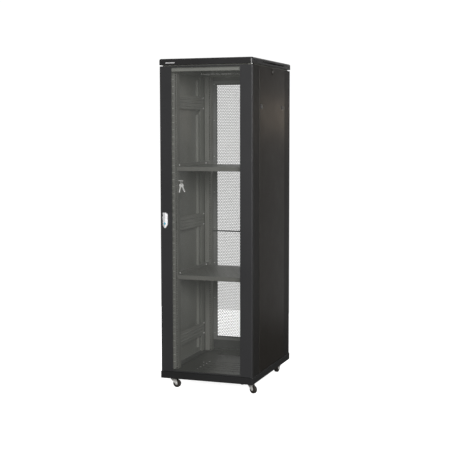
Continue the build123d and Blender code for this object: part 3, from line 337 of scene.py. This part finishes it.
# ---------------------------------------------------------------- mesh helpers
def new_object(name, bm, material):
    """A linked object made from a bmesh, which is used up."""
    mesh = bpy.data.meshes.new(name)
    bm.to_mesh(mesh)
    bm.free()
    mesh.materials.append(material)
    piece = bpy.data.objects.new(name, mesh)
    bpy.context.scene.collection.objects.link(piece)
    return piece


# ---------------------------------------------------------------- perforated rear panel


def hex_grid(bm, x_range, z_range, y):
    """Rows of hexagonal rings that share their outer corners; returns the edges round the field."""
    row_step = HEX_PITCH * sqrt(3) / 2
    columns = int((x_range[1] - x_range[0]) / HEX_PITCH - 0.5)
    rows = int((z_range[1] - z_range[0]) / row_step)
    x_start = (x_range[0] + x_range[1]) / 2 - (columns - 0.5) * HEX_PITCH / 2
    z_start = (z_range[0] + z_range[1]) / 2 - (rows - 1) * row_step / 2
    outer = HEX_PITCH / sqrt(3)
    inner = (HEX_PITCH - HEX_WEB) / sqrt(3)
    turns = [pi / 2 + k * pi / 3 for k in range(6)]
    corners = {}

    def corner(x, z):
        key = (round(x * 2e4), round(z * 2e4))
        if key not in corners:
            corners[key] = bm.verts.new((x, y, z))
        return corners[key]

    for row in range(rows):
        for column in range(columns):
            x = x_start + (column + 0.5 * (row % 2)) * HEX_PITCH
            z = z_start + row * row_step
            rim = [corner(x + outer * cos(t), z + outer * sin(t)) for t in turns]
            lip = [bm.verts.new((x + inner * cos(t), y, z + inner * sin(t))) for t in turns]
            for k in range(6):
                n = (k + 1) % 6
                bm.faces.new((rim[k], lip[k], lip[n], rim[n]))
    shared = set(corners.values())
    return [e for e in bm.edges if len(e.link_faces) == 1 and all(v in shared for v in e.verts)]


def hex_panel(name, low, high, field_heights, paint):
    """One perforated sheet of the rear door: hexagonal holes in a plain border."""
    bm = bmesh.new()
    field = hex_grid(bm, (low[0] + SIDE_BORDER, high[0] - SIDE_BORDER), field_heights, low[1])
    rim = [bm.verts.new((x, low[1], z)) for x, z in
           ((low[0], low[2]), (high[0], low[2]), (high[0], high[2]), (low[0], high[2]))]
    border = [bm.edges.new((rim[k], rim[(k + 1) % 4])) for k in range(4)]
    bmesh.ops.triangle_fill(bm, use_beauty=True, use_dissolve=False, edges=field + border)
    bmesh.ops.recalc_face_normals(bm, faces=bm.faces)
    if bm.faces[0].normal.y > 0:
        bmesh.ops.reverse_faces(bm, faces=bm.faces)
    thick = bmesh.ops.extrude_face_region(bm, geom=list(bm.faces), use_keep_orig=True)
    moved = [v for v in thick["geom"] if isinstance(v, bmesh.types.BMVert)]
    bmesh.ops.translate(bm, verts=moved, vec=(0, high[1] - low[1], 0))
    bmesh.ops.recalc_face_normals(bm, faces=bm.faces)
    piece = new_object(name, bm, paint)
    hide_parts("rear_door_mesh")
    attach(piece, "rear_door")


def rear_panels():
    """The perforated sheet, as one piece under the cross bar and one above it."""
    low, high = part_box("rear_door_mesh")
    paint = powder_coat("mesh_paint_grey", (0.14, 0.142, 0.138), 0.45, 0.12)
    hex_panel("lower_hex_panel", low, (high[0], high[1], STIFFENER_Z),
              (low[2] + END_BORDER, STIFFENER_Z - BAR_BORDER), paint)
    hex_panel("upper_hex_panel", (low[0], low[1], STIFFENER_Z), high,
              (STIFFENER_Z + BAR_BORDER, high[2] - END_BORDER), paint)


# ---------------------------------------------------------------- printed unit marks


def unit_marks():
    """Short printed dashes beside the square holes, one to a unit, on both front rails."""
    ink = print_ink("mark_ink", (0.42, 0.42, 0.39))
    for name, side in (("front_left_rail", -1), ("front_right_rail", 1)):
        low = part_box(name)[0]
        bm = bmesh.new()
        x0, x1 = sorted((side * MARK_START, side * (MARK_START + MARK_LONG)))
        for unit in range(UNITS):
            z = low[2] + unit * UNIT
            add_box(bm, (x0, low[1] - MARK_RISE, z - MARK_TALL / 2), (x1, low[1], z + MARK_TALL / 2))
        piece = new_object(f"{name}_marks", bm, ink)
        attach(piece, "cabinet")


def add_box(bm, low, high):
    """Add a box between two opposite corners."""
    (x0, y0, z0), (x1, y1, z1) = low, high
    corners = [bm.verts.new(place) for place in (
        (x0, y0, z0), (x1, y0, z0), (x1, y1, z0), (x0, y1, z0),
        (x0, y0, z1), (x1, y0, z1), (x1, y1, z1), (x0, y1, z1),
    )]
    for face in ((0, 3, 2, 1), (4, 5, 6, 7), (0, 1, 5, 4), (1, 2, 6, 5), (2, 3, 7, 6), (3, 0, 4, 7)):
        bm.faces.new([corners[k] for k in face])


# ---------------------------------------------------------------- blank badge
def badge():
    """Blank rounded name plate on the front edge of the roof cover."""
    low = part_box("roof_cover")[0]
    centre = Vector((low[0] + BADGE_ASIDE, low[1], low[2] + BADGE_UP))
    bm = bmesh.new()
    outline = []
    for end in (-1, 1):
        middle = end * (BADGE_HALF_LONG - BADGE_HALF_TALL)
        for step in range(BADGE_END_STEPS + 1):
            turn = end * pi / 2 - pi + pi * step / BADGE_END_STEPS
            outline.append((middle + BADGE_HALF_TALL * cos(turn), BADGE_HALF_TALL * sin(turn)))
    back = [bm.verts.new(centre + Vector((x, 0.0, z))) for x, z in outline]
    face = bm.faces.new(back)
    made = bmesh.ops.extrude_face_region(bm, geom=[face])
    front = [v for v in made["geom"] if isinstance(v, bmesh.types.BMVert)]
    bmesh.ops.translate(bm, verts=front, vec=(0, -BADGE_RISE, 0))
    bmesh.ops.recalc_face_normals(bm, faces=bm.faces)
    piece = new_object("blank_badge", bm, zinc("badge_metal", (0.7, 0.7, 0.7), 0.3, 0.4))
    bevel = piece.modifiers.new("soft_rim", "BEVEL")
    bevel.width = 0.0003
    bevel.segments = 2
    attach(piece, "cabinet")


# ---------------------------------------------------------------- studio
def studio():
    """Pale floor, a pale backdrop that only lights the object, soft lights and a white surround."""
    floor = stage_plane("studio_floor", FLOOR_SIDE, FLOOR_SIDE, (0.0, 0.0, 0.0), 0.0)
    s = Shader("studio_paper")
    paper = s.ramp(s.noise(0.8, 2.0), [(0.3, (0.93, 0.93, 0.93)), (0.7, (0.95, 0.95, 0.95))])
    floor.data.materials.append(s.finish(Base_Color=paper, Roughness=0.9, Emission_Color=paper,
                                         Emission_Strength=0.98))
    floor.visible_diffuse = False
    floor.visible_glossy = False
    width, height = BACKDROP_SIZE
    middle = (BACKDROP_EDGE - width / 2, BACKDROP_Y, BACKDROP_MIDDLE_Z)
    backdrop = stage_plane("studio_backdrop", width, height, middle, pi / 2)
    s = Shader("studio_cloth")
    cloth = s.ramp(s.noise(0.6, 2.0), [(0.3, (0.98, 0.98, 0.98)), (0.7, WHITE)])
    backdrop.data.materials.append(s.finish(Base_Color=(0.02, 0.02, 0.02, 1.0), Roughness=1.0,
                                            Emission_Color=cloth, Emission_Strength=1.0))
    backdrop.visible_camera = False
    surround()
    for name, (place, target, size, energy, color) in LIGHTS.items():
        area_light(name, place, target, size, energy, color)


def stage_plane(name, width, length, place, tilt):
    """Flat stage sheet, level or turned up to face the front."""
    bpy.ops.mesh.primitive_plane_add(size=1.0, location=place, rotation=(tilt, 0, 0))
    sheet = bpy.context.object
    sheet.name = name
    sheet.scale = (width, length, 1.0)
    return sheet


def surround():
    """White surround that lights the object only dimly."""
    world = bpy.data.worlds.new("studio_world")
    world.use_nodes = True
    tree = world.node_tree
    white = tree.nodes["Background"]
    white.inputs["Color"].default_value = (*WHITE, 1.0)
    white.inputs["Strength"].default_value = SURROUND_WHITE
    glow = tree.nodes.new("ShaderNodeBackground")
    glow.inputs["Color"].default_value = (1.0, 0.98, 0.95, 1.0)
    glow.inputs["Strength"].default_value = SURROUND_GLOW
    path = tree.nodes.new("ShaderNodeLightPath")
    mix = tree.nodes.new("ShaderNodeMixShader")
    tree.links.new(path.outputs["Is Camera Ray"], mix.inputs["Fac"])
    tree.links.new(glow.outputs["Background"], mix.inputs[1])
    tree.links.new(white.outputs["Background"], mix.inputs[2])
    tree.links.new(mix.outputs["Shader"], tree.nodes["World Output"].inputs["Surface"])
    bpy.context.scene.world = world


def area_light(name, position, target, size, energy, color):
    """Square soft light aimed at a point."""
    light = bpy.data.lights.new(name, "AREA")
    light.energy = energy
    light.size = size
    light.color = color
    lamp = bpy.data.objects.new(name, light)
    lamp.location = position
    lamp.rotation_euler = (Vector(target) - Vector(position)).to_track_quat("-Z", "Y").to_euler()
    lamp.visible_camera = False
    bpy.context.scene.collection.objects.link(lamp)


# ---------------------------------------------------------------- camera


def camera():
    """Camera in front and to the right, a little above the middle, looking slightly down."""
    data = bpy.data.cameras.new("main_camera")
    data.lens = CAMERA_LENS
    data.sensor_width = SENSOR_WIDTH
    data.clip_end = CLIP_END
    eye = bpy.data.objects.new("main_camera", data)
    bpy.context.scene.collection.objects.link(eye)
    turn = Matrix.Rotation(CAMERA_YAW, 4, "Z") @ Matrix.Rotation(pi / 2 - CAMERA_PITCH, 4, "X")
    eye.matrix_world = Matrix.Translation(CAMERA_PLACE) @ turn @ Matrix.Rotation(CAMERA_ROLL, 4, "Z")
    bpy.context.scene.camera = eye


camera()
studio()
bpy.context.scene.view_settings.view_transform = "Standard"
dress_cabinet()
rear_panels()
unit_marks()
badge()
